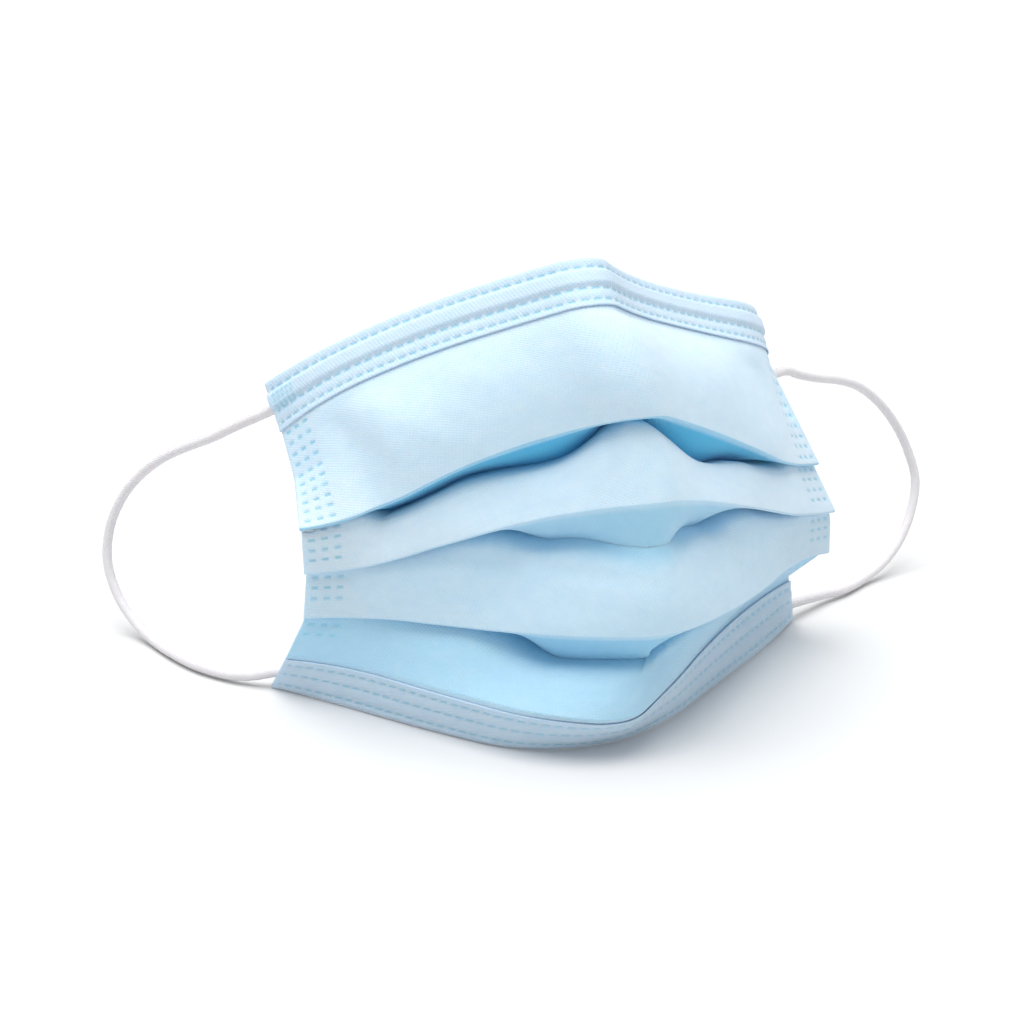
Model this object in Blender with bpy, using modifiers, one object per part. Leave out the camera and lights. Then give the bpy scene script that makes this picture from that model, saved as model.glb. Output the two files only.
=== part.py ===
"""Pleated three-ply surgical face mask, opened into its pouch and standing on its lower edge.

Metres, +Z up. The front of the mask faces -Y and its middle lies near X = 0. The origin is on the
surface that the mask stands on, under the middle of the lower edge, at the chin.

The cloth is followed across the mask by fold lines. Each runs from the left edge to the right edge
and is as long as the mask is wide, because folded cloth bends but doesn't stretch. It turns back
towards the ears by its yaw angles and drops from the nose by its slope angles.
"""
import math

import bpy
from mathutils import Vector

# Flat sizes of the mask
MASK_WIDTH = 0.175
TOP_PANEL = 0.043
PLEAT_STEP = 0.0125
LOWER_PANEL = 0.025
PLEAT_DEPTH = 0.011
BINDING_WIDTH = 0.0145
CHANNEL_WIDTH = 0.0055
CHANNEL_START = 0.0026
CHANNEL_RISE = 0.0006
STRIP_WIDTH = 0.0108

# Walls and the room between layers
CLOTH_WALL = 0.001
LAYER_GAP = 0.0006
CLEARANCE = 0.0003
REST_SINK = 0.0003
HEM_MARGIN = 0.0015

# Opened pose
NOSE_HEIGHT = 0.110
POUCH_REACH = 0.080
MIDDLE_ROUNDING = 0.08
BOW_RATIO = 3 / 8
DEEPEST_BOW = 0.12
CREASE_SHARE = 0.42
WELDED_FADE = 0.10
PANEL_BOW = 0.6
LOWER_PANEL_BOW = 0.1

# Ear loops
LOOP_DIAMETER = 0.0025
LOOP_TACK = 0.008
TACK_CLEARANCE = 0.0007

# Number of cloth faces
STATIONS_EACH_SIDE = 18
PANEL_STEPS = 5
FOLD_STEPS = 2
BAND_STEPS = 3
TURN_STEPS = 4
ROUTE_SAMPLES = 12

# One row for each fold line: its middle, as shares of POUCH_REACH behind and NOSE_HEIGHT above
# the chin, then as a share of MASK_WIDTH to the right
FOLD_LINES = {
    "top_edge": {"behind": 0.31, "above": 0.994, "right": 0.0},
    "top_hem": {"behind": 0.165, "above": 0.916, "right": -0.008},
    "fold_1": {"behind": 0.006, "above": 0.717, "right": 0.037},
    "fold_2": {"behind": -0.056, "above": 0.547, "right": 0.040},
    "fold_3": {"behind": -0.119, "above": 0.272, "right": 0.039},
    "lower_hem": {"behind": -0.115, "above": 0.095, "right": -0.012},
    "lower_edge": {"behind": 0.01, "above": 0.0, "right": -0.023},
}

# Yaw and slope in degrees at the middle, at each third and at each end of a fold line
YAW = {
    "top_edge": {"left": (43, 33, 34, 46), "right": (50, 31, 24, 70)},
    "top_hem": {"left": (46, 33, 34, 59), "right": (44, 29, 27, 70)},
    "fold_1": {"left": (43, 26, 26, 32), "right": (42, 28, 42, 36)},
    "fold_2": {"left": (32, 33, 33, 36), "right": (32, 35, 39, 33)},
    "fold_3": {"left": (34, 38, 39, 34), "right": (31, 42, 45, 30)},
    "lower_hem": {"left": (5, 49, 53, 35), "right": (32, 48, 43, 30)},
    "lower_edge": {"left": (-4, 46, 51, 47), "right": (9, 38, 37, 46)},
}
SLOPE = {
    "top_edge": {"left": (20, 22, 28, 36), "right": (32, 23, 17, 28)},
    "top_hem": {"left": (23, 21, 28, 41), "right": (28, 22, 21, 26)},
    "fold_1": {"left": (15, 21, 32, 12), "right": (23, 27, 29, 13)},
    "fold_2": {"left": (9, 18, 24, 10), "right": (15, 22, 23, 12)},
    "fold_3": {"left": (7, 5, 1, 10), "right": (10, 8, 2, 12)},
    "lower_hem": {"left": (-9, 0, 0, 2), "right": (-17, 0, 0, -1)},
    "lower_edge": {"left": (0, 0, 0, 0), "right": (0, 0, 0, 0)},
}

# How far each pleat is opened between the side strips, in degrees at the middle, at each third and
# at the strip: 0 is folded flat, 180 is pulled out straight
OPENING = {
    "fold_1": {"left": (60, 113, 88, 80), "right": (60, 108, 80, 60)},
    "fold_2": {"left": (158, 120, 65, 40), "right": (158, 113, 65, 40)},
    "fold_3": {"left": (132, 136, 60, 40), "right": (125, 85, 45, 30)},
}

# How the upper panel bows between its hem and the first pleat: 1 is outward, -1 is inward
UPPER_BOW = {"left": (1, 1, 0.7, -1), "right": (1, 1, 0.7, -1)}

# Where each end of an ear loop leaves the side edge: a share of the way from one fold line to the
# next, and the layer that its tack is welded to
TACKS = {
    "left": {
        "upper": {"from": "top_edge", "to": "top_hem", "share": 0.45, "onto": "binding"},
        "lower": {"from": "lower_edge", "to": "lower_hem", "share": 0.25, "onto": "binding"},
    },
    "right": {
        "upper": {"from": "top_hem", "to": "fold_1", "share": 0.12, "onto": "cloth"},
        "lower": {"from": "lower_edge", "to": "lower_hem", "share": 0.25, "onto": "binding"},
    },
}

# Route of each ear loop in millimetres, from its upper to its lower tack: right, behind and above
LOOP_ROUTES = {
    "left": (
        (-69.4, 79.4, 59.5), (-74.0, 85.6, 55.0), (-79.1, 92.0, 50.9), (-84.2, 98.0, 46.5),
        (-89.0, 103.1, 41.0), (-93.7, 106.6, 34.0), (-97.3, 107.7, 25.7), (-98.8, 106.1, 16.9),
        (-97.5, 101.5, 9.2), (-94.6, 94.6, 4.1), (-91.5, 87.0, 1.8), (-88.4, 78.0, 1.7),
        (-84.4, 69.5, 1.7), (-78.7, 62.1, 1.8), (-73.2, 57.5, 2.6),
    ),
    "right": (
        (71.0, 65.6, 62.6), (76.4, 69.2, 59.9), (83.9, 73.1, 56.8), (91.7, 76.8, 54.2),
        (99.4, 79.6, 50.6), (106.3, 81.3, 45.0), (112.0, 82.0, 38.1), (116.2, 81.6, 30.2),
        (118.1, 79.4, 21.6), (115.3, 75.9, 13.6), (110.0, 71.7, 7.6), (103.1, 67.4, 3.7),
        (95.7, 63.8, 1.8), (87.6, 59.1, 1.8), (79.9, 56.3, 2.5),
    ),
}

HALF_WIDTH = MASK_WIDTH / 2
LAYER_PITCH = CLOTH_WALL + LAYER_GAP
BINDING_OFFSET = CLOTH_WALL + CLEARANCE
EDGE_HEIGHT = BINDING_OFFSET + CLOTH_WALL / 2 - REST_SINK
WELDED_SHARE = 1 - STRIP_WIDTH / HALF_WIDTH
UPPER_LENGTH = TOP_PANEL - BINDING_WIDTH
HANGING_LENGTH = PLEAT_DEPTH + PLEAT_STEP
LOWER_LENGTH = PLEAT_DEPTH + LOWER_PANEL - BINDING_WIDTH
FLOOR_BLOCK = 2 * MASK_WIDTH
MM = 0.001


def clear_scene():
    for item in list(bpy.data.objects):
        bpy.data.objects.remove(item, do_unlink=True)


def material(name, colour, roughness):
    result = bpy.data.materials.new(name)
    result.use_nodes = True
    shader = result.node_tree.nodes["Principled BSDF"]
    shader.inputs["Base Color"].default_value = (*colour, 1)
    shader.inputs["Roughness"].default_value = roughness
    shader.inputs["Metallic"].default_value = 0
    return result


def blend(values, share):
    """Read a table row of a middle, two thirds and an end value at a share of the half width."""
    place = min(max(share, 0), 1) * (len(values) - 1)
    index = min(int(place), len(values) - 2)
    low, high = values[index], values[index + 1]
    return low + (high - low) * (place - index)


def fold_line(name):
    """Points of one fold line, from the left edge to the right edge."""
    row = FOLD_LINES[name]
    height = EDGE_HEIGHT + row["above"] * NOSE_HEIGHT
    middle = Vector((row["right"] * MASK_WIDTH, row["behind"] * POUCH_REACH, height))
    step = HALF_WIDTH / STATIONS_EACH_SIDE
    halves = {}
    for side, sign in (("left", -1), ("right", 1)):
        points = [middle]
        for index in range(STATIONS_EACH_SIDE):
            share = (index + 0.5) / STATIONS_EACH_SIDE
            rounding = min(share / MIDDLE_ROUNDING, 1)
            yaw = math.radians(blend(YAW[name][side], share)) * rounding
            slope = math.radians(blend(SLOPE[name][side], share)) * rounding
            level = math.cos(slope)
            along = Vector((sign * math.cos(yaw) * level, math.sin(yaw) * level, -math.sin(slope)))
            points.append(points[-1] + along * step)
        halves[side] = points
    return halves["left"][:0:-1] + halves["right"]


def station_shares():
    """Side and share of the half width at each station, from left to right."""
    count = STATIONS_EACH_SIDE
    return [("left" if index < 0 else "right", abs(index) / count) for index in range(-count, count + 1)]


def across(line, index):
    """Direction along a fold line at a station, towards the right."""
    low = max(index - 1, 0)
    high = min(index + 1, len(line) - 1)
    return (line[high] - line[low]).normalized()


def smooth_step(value):
    value = min(max(value, 0), 1)
    return value * value * (3 - 2 * value)


def bulge_of(chord, length):
    """Height of a shallow bow that makes a straight chord as long as the cloth over it."""
    slack = max(length - chord, 0)
    return min(math.sqrt(BOW_RATIO * chord * slack), DEEPEST_BOW * chord)


def round_bow(share):
    """Height of a round bow at a share of its length, where 1 is its bulge."""
    return 4 * share * (1 - share)


def upper_bow(share, bow):
    """Height of the upper panel's bow: round, or creased inward where bow is negative."""
    creasing = smooth_step((1 - bow) / 2)
    creased = min(share / CREASE_SHARE, (1 - share) / (1 - CREASE_SHARE))
    return bow * (round_bow(share) * (1 - creasing) + creased * creasing)


def opening_at(name, side, share):
    """How far a pleat is open at a share of the half width: the side strips hold it closed."""
    free = blend(OPENING[name][side], share / WELDED_SHARE)
    return free * smooth_step((WELDED_SHARE - share) / WELDED_FADE)


class Pleat:
    """One pleat at one station: the fold at its front, the underlay behind it and its upper turn."""

    def __init__(self, fold, above, opening, tangent):
        up = (above - fold).normalized()
        angle = math.radians(opening)
        turn = LAYER_PITCH / 2
        self.outward = tangent.cross(up).normalized()
        self.closed = (1 + math.cos(angle)) / 2
        underlay = up * math.cos(angle) - self.outward * math.sin(angle)
        inset = -self.outward * LAYER_PITCH * self.closed
        start = fold + inset + underlay * turn
        end = start + underlay * (PLEAT_DEPTH - 2 * turn)
        upper_turn = end + inset / 2 + underlay * turn
        middle = [start.lerp(end, step / FOLD_STEPS) for step in range(1, FOLD_STEPS)]
        self.front = fold + up * turn
        self.leaving = end + inset
        self.behind = fold + inset * 2
        self.points = [fold + inset / 2, start, *middle, end, upper_turn, self.leaving]


def upper_panel(start, end, outward, bow):
    """Points of the panel between the top hem and the first pleat."""
    bulge = bulge_of((end - start).length, UPPER_LENGTH)
    shares = [step / PANEL_STEPS for step in range(1, PANEL_STEPS + 1)]
    return [start.lerp(end, share) + outward * bulge * upper_bow(share, bow) for share in shares]


def hanging_panel(pleat, end, outward, length, bow):
    """Points of a panel below a pleat: behind the fold where that is closed, else bowed outward."""
    start, behind = pleat.leaving, pleat.behind
    bulge = bulge_of((end - start).length, length) * bow
    first = (behind - start).length
    second = (end - behind).length
    points = []
    for step in range(1, PANEL_STEPS + 1):
        share = step / PANEL_STEPS
        free = start.lerp(end, share) + outward * bulge * round_bow(share)
        walked = (first + second) * share
        if walked < first:
            pressed = start.lerp(behind, walked / first)
        else:
            pressed = behind.lerp(end, (walked - first) / second)
        points.append(free.lerp(pressed, pleat.closed))
    return points


def section(lines, index, side, share):
    """Points of the cloth from the top edge to the lower edge at one station."""
    spot = {name: line[index] for name, line in lines.items()}
    top, hem, fold = spot["top_edge"], spot["top_hem"], spot["fold_1"]
    rim = top + (hem - top).normalized() * (BINDING_OFFSET + CLEARANCE)
    points = [rim.lerp(hem, step / BAND_STEPS) for step in range(BAND_STEPS + 1)]
    bow = blend(UPPER_BOW[side], share)
    outward = across(lines["fold_1"], index).cross(hem - fold).normalized()
    bulge = bulge_of((fold - hem).length, UPPER_LENGTH)
    crease = hem.lerp(fold, CREASE_SHARE) + outward * bulge * upper_bow(CREASE_SHARE, bow)
    above = hem.lerp(crease, smooth_step(-2 * bow))
    pleats = []
    for name in ("fold_1", "fold_2", "fold_3"):
        pleats.append(Pleat(spot[name], above, opening_at(name, side, share), across(lines[name], index)))
        above = pleats[-1].behind
    first, second, third = pleats
    points += upper_panel(hem, first.front, outward, bow)
    points += first.points
    points += hanging_panel(first, second.front, second.outward, HANGING_LENGTH, PANEL_BOW)
    points += second.points
    points += hanging_panel(second, third.front, third.outward, HANGING_LENGTH, PANEL_BOW)
    points += third.points
    hem, edge = spot["lower_hem"], spot["lower_edge"]
    outward = across(lines["lower_hem"], index).cross(third.behind - hem).normalized()
    points += hanging_panel(third, hem, outward, LOWER_LENGTH, LOWER_PANEL_BOW)
    rim = edge + (hem - edge).normalized() * CLEARANCE
    points += [hem.lerp(rim, step / BAND_STEPS) for step in range(1, BAND_STEPS + 1)]
    return points


def facing(edge_line, hem_line, index, share):
    """Outward direction of an edge band at a station and a share of the way from its edge to its hem."""
    upward = edge_line[index] - hem_line[index]
    tangent = across(edge_line, index).lerp(across(hem_line, index), share)
    outward = tangent.cross(upward).normalized()
    if outward.y > 0:
        outward = -outward
    return outward


def binding_section(edge_line, hem_line, index, centre_shift, channel):
    """Points of a folded strip: down its front, round the edge of the cloth and up its back."""
    hem = hem_line[index]
    edge = edge_line[index]
    width = (hem - edge).length
    inner = (hem - edge).normalized()

    def layer(distance, height):
        return edge + inner * distance + facing(edge_line, hem_line, index, distance / width) * height

    leg = width - HEM_MARGIN - centre_shift
    legs = [centre_shift + leg * step / BAND_STEPS for step in range(BAND_STEPS, 0, -1)]
    if channel:
        third = CHANNEL_WIDTH / 3
        channel_rows = [CHANNEL_START + third * step for step in (3, 2, 1, 0)]
        rises = (0, CHANNEL_RISE, CHANNEL_RISE, 0)
        points = [layer(legs[0], BINDING_OFFSET)]
        points += [layer(place, BINDING_OFFSET + rise) for place, rise in zip(channel_rows, rises)]
    else:
        points = [layer(place, BINDING_OFFSET) for place in legs]
    outward = facing(edge_line, hem_line, index, 0)
    for turn in range(TURN_STEPS + 1):
        angle = math.pi * turn / TURN_STEPS
        round_edge = outward * math.cos(angle) - inner * math.sin(angle)
        points.append(edge + inner * centre_shift + round_edge * BINDING_OFFSET)
    points += [layer(place, -BINDING_OFFSET) for place in reversed(legs)]
    return points


def behind_edge(lines, row, side, index):
    """Point of a loop's centre line that lies against the inner side of the cloth at one station."""
    start, end = lines[row["from"]], lines[row["to"]]
    outward = facing(start, end, index, row["share"])
    depth = CLOTH_WALL / 2 + TACK_CLEARANCE + LOOP_DIAMETER / 2
    if row["onto"] == "binding":
        depth += BINDING_OFFSET
    else:
        share = abs(index - STATIONS_EACH_SIDE) / STATIONS_EACH_SIDE
        bow = blend(UPPER_BOW[side], share)
        depth -= bulge_of((end[index] - start[index]).length, UPPER_LENGTH) * upper_bow(row["share"], bow)
    return start[index].lerp(end[index], row["share"]) - outward * depth


def tack_points(lines, side, place):
    """The end of an ear loop inside its tack, and the point where the loop leaves the side edge."""
    row = TACKS[side][place]
    edge, inward = (0, 1) if side == "left" else (2 * STATIONS_EACH_SIDE, -1)
    leaving = behind_edge(lines, row, side, edge)
    inside = behind_edge(lines, row, side, edge + 2 * inward)
    return leaving + (inside - leaving).normalized() * LOOP_TACK, leaving


def smooth_route(points, spacing):
    """Evenly spaced points along a smooth curve through the points of a route."""
    dense = []
    for index in range(len(points) - 1):
        before = points[max(index - 1, 0)]
        start, end = points[index], points[index + 1]
        after = points[min(index + 2, len(points) - 1)]
        for step in range(ROUTE_SAMPLES):
            t = step / ROUTE_SAMPLES
            pull = (after - start) / 2
            push = (end - before) / 2
            blend_start = 2 * t ** 3 - 3 * t ** 2 + 1
            blend_end = -2 * t ** 3 + 3 * t ** 2
            bend_start = t ** 3 - 2 * t ** 2 + t
            bend_end = t ** 3 - t ** 2
            dense.append(start * blend_start + push * bend_start + end * blend_end + pull * bend_end)
    dense.append(points[-1])
    lengths = [0.0]
    for first, second in zip(dense, dense[1:]):
        lengths.append(lengths[-1] + (second - first).length)
    count = round(lengths[-1] / spacing)
    result = []
    place = 0
    for index in range(count + 1):
        wanted = lengths[-1] * index / count
        while place < len(dense) - 2 and lengths[place + 1] < wanted:
            place += 1
        share = (wanted - lengths[place]) / (lengths[place + 1] - lengths[place])
        result.append(dense[place].lerp(dense[place + 1], share))
    return result


def loop_points(lines, side):
    """Centre line of an ear loop from tack to tack."""
    upper = tack_points(lines, side, "upper")
    lower = tack_points(lines, side, "lower")
    free = [Vector(point) * MM for point in LOOP_ROUTES[side]]
    return smooth_route([*upper, *free, *reversed(lower)], LOOP_DIAMETER * 2)


def cord_object(name, points, diameter, finish):
    """A round cord along a row of points."""
    curve = bpy.data.curves.new(name, "CURVE")
    curve.dimensions = "3D"
    curve.bevel_depth = diameter / 2
    curve.bevel_resolution = 2
    curve.use_fill_caps = True
    spline = curve.splines.new("POLY")
    spline.points.add(len(points) - 1)
    for target, point in zip(spline.points, points):
        target.co = (*point, 1)
    curve.materials.append(finish)
    return bpy.data.objects.new(name, curve)


def sheet_object(name, rows, wall, finish):
    """A sheet through rows of points, thickened evenly to both sides."""
    width = len(rows[0])
    vertices = [point for row in rows for point in row]
    faces = []
    for row in range(len(rows) - 1):
        for column in range(width - 1):
            first = row * width + column
            faces.append((first, first + 1, first + width + 1, first + width))
    mesh = bpy.data.meshes.new(name)
    mesh.from_pydata(vertices, [], faces)
    mesh.shade_smooth()
    result = bpy.data.objects.new(name, mesh)
    result.data.materials.append(finish)
    solid = result.modifiers.new("wall", "SOLIDIFY")
    solid.thickness = wall
    solid.offset = 0
    return result


def rest_flat(strip):
    """Press the underside of a strip flat on the surface that the mask stands on."""
    cutters = bpy.data.collections.new("cutters")
    bpy.context.scene.collection.children.link(cutters)
    bpy.ops.mesh.primitive_cube_add(size=FLOOR_BLOCK, location=(0, 0, -FLOOR_BLOCK / 2))
    below = bpy.context.active_object
    below.name = "floor_cutter"
    for collection in list(below.users_collection):
        collection.objects.unlink(below)
    cutters.objects.link(below)
    below.hide_render = True
    below.display_type = "WIRE"
    cut = strip.modifiers.new("rest", "BOOLEAN")
    cut.operation = "DIFFERENCE"
    cut.object = below


def main():
    clear_scene()
    parts = bpy.data.collections.new("surgical_face_mask")
    bpy.context.scene.collection.children.link(parts)
    lines = {name: fold_line(name) for name in FOLD_LINES}
    sections = [section(lines, index, side, share) for index, (side, share) in enumerate(station_shares())]
    binding = material("binding", (0.62, 0.78, 0.88), 0.9)
    cloth = material("cloth", (0.55, 0.72, 0.86), 0.9)
    elastic = material("elastic", (0.86, 0.85, 0.86), 0.8)
    parts.objects.link(sheet_object("mask_body", sections, CLOTH_WALL, cloth))
    stations = range(2 * STATIONS_EACH_SIDE + 1)
    upper = [
        binding_section(lines["top_edge"], lines["top_hem"], index, BINDING_OFFSET, True)
        for index in stations
    ]
    parts.objects.link(sheet_object("top_binding", upper, CLOTH_WALL, binding))
    lower = [
        binding_section(lines["lower_edge"], lines["lower_hem"], index, 0, False)
        for index in stations
    ]
    lower_binding = sheet_object("bottom_binding", lower, CLOTH_WALL, binding)
    parts.objects.link(lower_binding)
    rest_flat(lower_binding)
    for side in ("left", "right"):
        loop = cord_object(side + "_ear_loop", loop_points(lines, side), LOOP_DIAMETER, elastic)
        parts.objects.link(loop)


main()
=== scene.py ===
"""Look of a pleated three-ply surgical face mask, opened into its pouch and standing on its lower edge.

Metres, +Z up, and the front of the mask faces -Y. The cloth follows fold lines that run across the
mask. Places on it are measured flat: across from its left edge, and down from its top edge.
"""
import math

import bpy
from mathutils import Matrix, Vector, noise

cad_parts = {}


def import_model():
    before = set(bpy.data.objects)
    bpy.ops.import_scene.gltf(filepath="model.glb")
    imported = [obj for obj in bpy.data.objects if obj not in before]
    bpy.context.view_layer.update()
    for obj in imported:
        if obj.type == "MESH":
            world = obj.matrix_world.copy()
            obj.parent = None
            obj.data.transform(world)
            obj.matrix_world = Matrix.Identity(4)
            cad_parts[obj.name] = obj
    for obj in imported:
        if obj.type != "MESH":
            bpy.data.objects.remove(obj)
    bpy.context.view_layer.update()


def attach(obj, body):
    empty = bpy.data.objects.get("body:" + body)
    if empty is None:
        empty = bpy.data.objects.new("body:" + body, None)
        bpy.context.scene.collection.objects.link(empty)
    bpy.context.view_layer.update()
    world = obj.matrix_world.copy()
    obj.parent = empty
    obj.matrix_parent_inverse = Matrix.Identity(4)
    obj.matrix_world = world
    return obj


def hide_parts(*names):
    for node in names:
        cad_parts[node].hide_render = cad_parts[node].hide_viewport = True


# Flat sizes of the mask
MASK_WIDTH = 0.175
TOP_PANEL = 0.043
PLEAT_STEP = 0.0125
LOWER_PANEL = 0.025
PLEAT_DEPTH = 0.011
BINDING_WIDTH = 0.0145
CHANNEL_START = 0.0030
CHANNEL_END = 0.0078
CHANNEL_RISE = 0.0006
STRIP_WIDTH = 0.0108

# Walls and the room between layers
CLOTH_WALL = 0.0003
LAYER_PITCH = 0.0008
BINDING_OFFSET = 0.0004
HEM_MARGIN = 0.0012

# Opened pose: its height and reach, the shares of the half width over which the fold lines are
# rounded in the middle and the pleats close towards the side strips, how much of a full bow the
# panels below the pleats have, and the length over which a fold rounds the panel that it presses
NOSE_HEIGHT = 0.110
POUCH_REACH = 0.080
MIDDLE_ROUNDING = 0.08
WELDED_FADE = 0.10
PANEL_BOW = 0.6
LOWER_PANEL_BOW = 0.1
PRESS_ROUNDING = 0.0025

# Slack cloth: the square of a bow's height is this share of its chord times its slack, and a bow
# is never deeper than this share of its chord
BOW_RATIO = 3 / 8
DEEPEST_BOW = 0.12

# Crease of the upper panel: its place down the panel, how round it stays, and the inward bow from
# which the first pleat hangs straight down from it
CREASE_SHARE = 0.42
CREASE_ROUNDNESS = 0.15
CREASED_BOW = 0.25

# Ear loops
LOOP_DIAMETER = 0.0025
LOOP_TACK = 0.008
LEFT_LOOP_LENGTH = 0.167
RIGHT_LOOP_LENGTH = 0.167

# Knit of the ear loops: shares of the cord's radius, the ribs round it, how far they sway to and
# fro in radians and how fast per ring, the narrowed rings at each end, and the length round the
# cord that its texture covers
CORD_FULLNESS = 0.97
KNIT_RELIEF = 0.035
KNIT_RIBS = 6
KNIT_SWAY = 2.2
KNIT_PACE = 0.9
CORD_END_SHARE = 0.35
CORD_END_RINGS = 6
CORD_GIRTH = 0.008

# Mesh spacings, and how far short of a fold line's last point it is read, in steps
LINE_STEP = 0.0005
LINE_END_GAP = 0.001
MIDDLE_SPACING = 0.0014
STRIP_SPACING = 0.00042
ROW_SPACING = 0.00045
HIDDEN_SPACING = 0.0011
BAND_SPACING = 0.0029
BINDING_SPACING = 0.0004
TURN_ROWS = 5
EDGE_TURN_ROWS = 10
CORD_SIDES = 20
CORD_SPACING = 0.0004
ROUTE_STEPS = 16

# Middle of each fold line: shares of POUCH_REACH behind and NOSE_HEIGHT above the chin, and of
# MASK_WIDTH to the right
FOLD_LINES = {
    "top_edge": {"behind": 0.31, "above": 0.994, "right": 0.0},
    "top_hem": {"behind": 0.165, "above": 0.916, "right": -0.008},
    "fold_1": {"behind": 0.006, "above": 0.717, "right": 0.037},
    "fold_2": {"behind": -0.056, "above": 0.547, "right": 0.040},
    "fold_3": {"behind": -0.119, "above": 0.272, "right": 0.039},
    "lower_hem": {"behind": -0.115, "above": 0.095, "right": -0.012},
    "lower_edge": {"behind": 0.01, "above": 0.0, "right": -0.023},
}

# Yaw and slope in degrees at the middle, at each third and at each end of a fold line
YAW = {
    "top_edge": {"left": (43, 33, 34, 46), "right": (50, 31, 24, 70)},
    "top_hem": {"left": (46, 33, 34, 59), "right": (44, 29, 27, 70)},
    "fold_1": {"left": (43, 26, 26, 32), "right": (42, 28, 42, 36)},
    "fold_2": {"left": (32, 33, 33, 36), "right": (32, 35, 39, 33)},
    "fold_3": {"left": (34, 38, 39, 34), "right": (31, 42, 45, 30)},
    "lower_hem": {"left": (5, 49, 53, 35), "right": (32, 48, 43, 30)},
    "lower_edge": {"left": (-4, 46, 51, 47), "right": (9, 38, 37, 46)},
}
SLOPE = {
    "top_edge": {"left": (20, 22, 28, 36), "right": (32, 23, 17, 28)},
    "top_hem": {"left": (23, 21, 28, 41), "right": (28, 22, 21, 26)},
    "fold_1": {"left": (15, 21, 32, 12), "right": (23, 27, 29, 13)},
    "fold_2": {"left": (9, 18, 24, 10), "right": (15, 22, 23, 12)},
    "fold_3": {"left": (7, 5, 1, 10), "right": (10, 8, 2, 12)},
    "lower_hem": {"left": (-9, 0, 0, 2), "right": (-17, 0, 0, -1)},
    "lower_edge": {"left": (0, 0, 0, 0), "right": (0, 0, 0, 0)},
}

# How far each pleat is opened between the side strips, in degrees at the middle, at each third and
# at the strip: 0 is folded flat, 180 is pulled out straight
OPENING = {
    "fold_1": {"left": (60, 113, 88, 80), "right": (60, 108, 80, 60)},
    "fold_2": {"left": (158, 120, 65, 40), "right": (158, 113, 65, 40)},
    "fold_3": {"left": (132, 136, 60, 40), "right": (125, 85, 45, 30)},
}

# How the upper panel bows between its hem and the first pleat: 1 is outward, -1 is inward
UPPER_BOW = {"left": (1, 1, 0.7, -1), "right": (1, 1, 0.7, -1)}

# Where each end of an ear loop leaves the side edge, a share of the way between two fold lines, and
# whether its tack is welded onto a binding or onto the cloth
TACKS = {
    "left": {
        "upper": {"from": "top_edge", "to": "top_hem", "share": 0.45, "onto": "binding"},
        "lower": {"from": "lower_edge", "to": "lower_hem", "share": 0.25, "onto": "binding"},
    },
    "right": {
        "upper": {"from": "top_hem", "to": "fold_1", "share": 0.12, "onto": "cloth"},
        "lower": {"from": "lower_edge", "to": "lower_hem", "share": 0.25, "onto": "binding"},
    },
}

# Route of each ear loop in metres, from its upper to its lower tack
LOOP_ROUTES = {
    "left": (
        (-0.0694, 0.0794, 0.0595), (-0.0740, 0.0856, 0.0550), (-0.0791, 0.0920, 0.0509),
        (-0.0842, 0.0980, 0.0465), (-0.0890, 0.1031, 0.0410), (-0.0937, 0.1066, 0.0340),
        (-0.0973, 0.1077, 0.0257), (-0.0988, 0.1061, 0.0169), (-0.0975, 0.1015, 0.0092),
        (-0.0946, 0.0946, 0.0041), (-0.0915, 0.0870, 0.0018), (-0.0884, 0.0780, 0.0017),
        (-0.0844, 0.0695, 0.0017), (-0.0787, 0.0621, 0.0018), (-0.0732, 0.0575, 0.0026),
    ),
    "right": (
        (0.0710, 0.0656, 0.0626), (0.0764, 0.0692, 0.0599), (0.0839, 0.0731, 0.0568),
        (0.0917, 0.0768, 0.0542), (0.0994, 0.0796, 0.0506), (0.1063, 0.0813, 0.0450),
        (0.1120, 0.0820, 0.0381), (0.1162, 0.0816, 0.0302), (0.1181, 0.0794, 0.0216),
        (0.1153, 0.0759, 0.0136), (0.1100, 0.0717, 0.0076), (0.1031, 0.0674, 0.0037),
        (0.0957, 0.0638, 0.0018), (0.0876, 0.0591, 0.0018), (0.0799, 0.0563, 0.0025),
    ),
}

# Welded dashes: their size and pitch, the rows on the bindings measured from the edge, the columns
# on the side strips measured from the side, and the block of square dots at the nose band's left end
DASH_LENGTH = 0.0019
DASH_HEIGHT = 0.0009
DASH_PITCH = 0.0029
DASH_SOFTNESS = 0.0004
DENT_DEPTH = 0.00022
TOP_DASH_ROWS = (0.0026, 0.0085, 0.0116)
LOWER_DASH_ROWS = (0.0023, 0.0070, 0.0110)
STRIP_COLUMNS = (0.0024, 0.0056, 0.0088)
STRIP_DASH_LENGTH = 0.0017
STRIP_ROW_PITCH = 0.0029
STRIP_FIRST_ROW = 0.0017
CORNER_START = 0.0022
CORNER_FIRST_ROW = 0.0044
CORNER_PITCH = 0.0015
CORNER_COLUMNS = 5
CORNER_ROWS = 3
CORNER_DOT = 0.0010

# Relief of the bindings: puffed between the weld rows, with a ramp on each side of the channel
PUFF_RISE = 0.00016
PUFF_REACH = 0.0022
CHANNEL_FIRST_RAMP = 0.0009
CHANNEL_LAST_RAMP = 0.0007

# Unevenness of the cloth: the size and height of its waves, the layer of the noise that they are
# read from, and how they fade out towards the side strips and the bindings
CRUMPLES = (
    {"wide": 0.028, "tall": 0.016, "height": 0.0010, "layer": 3.1},
    {"wide": 0.009, "tall": 0.006, "height": 0.0002, "layer": 7.7},
)
CRUMPLE_END_SHARE = 0.93
CRUMPLE_SIDE_FADE = 0.15
CRUMPLE_BINDING_FADE = 0.006

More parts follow.
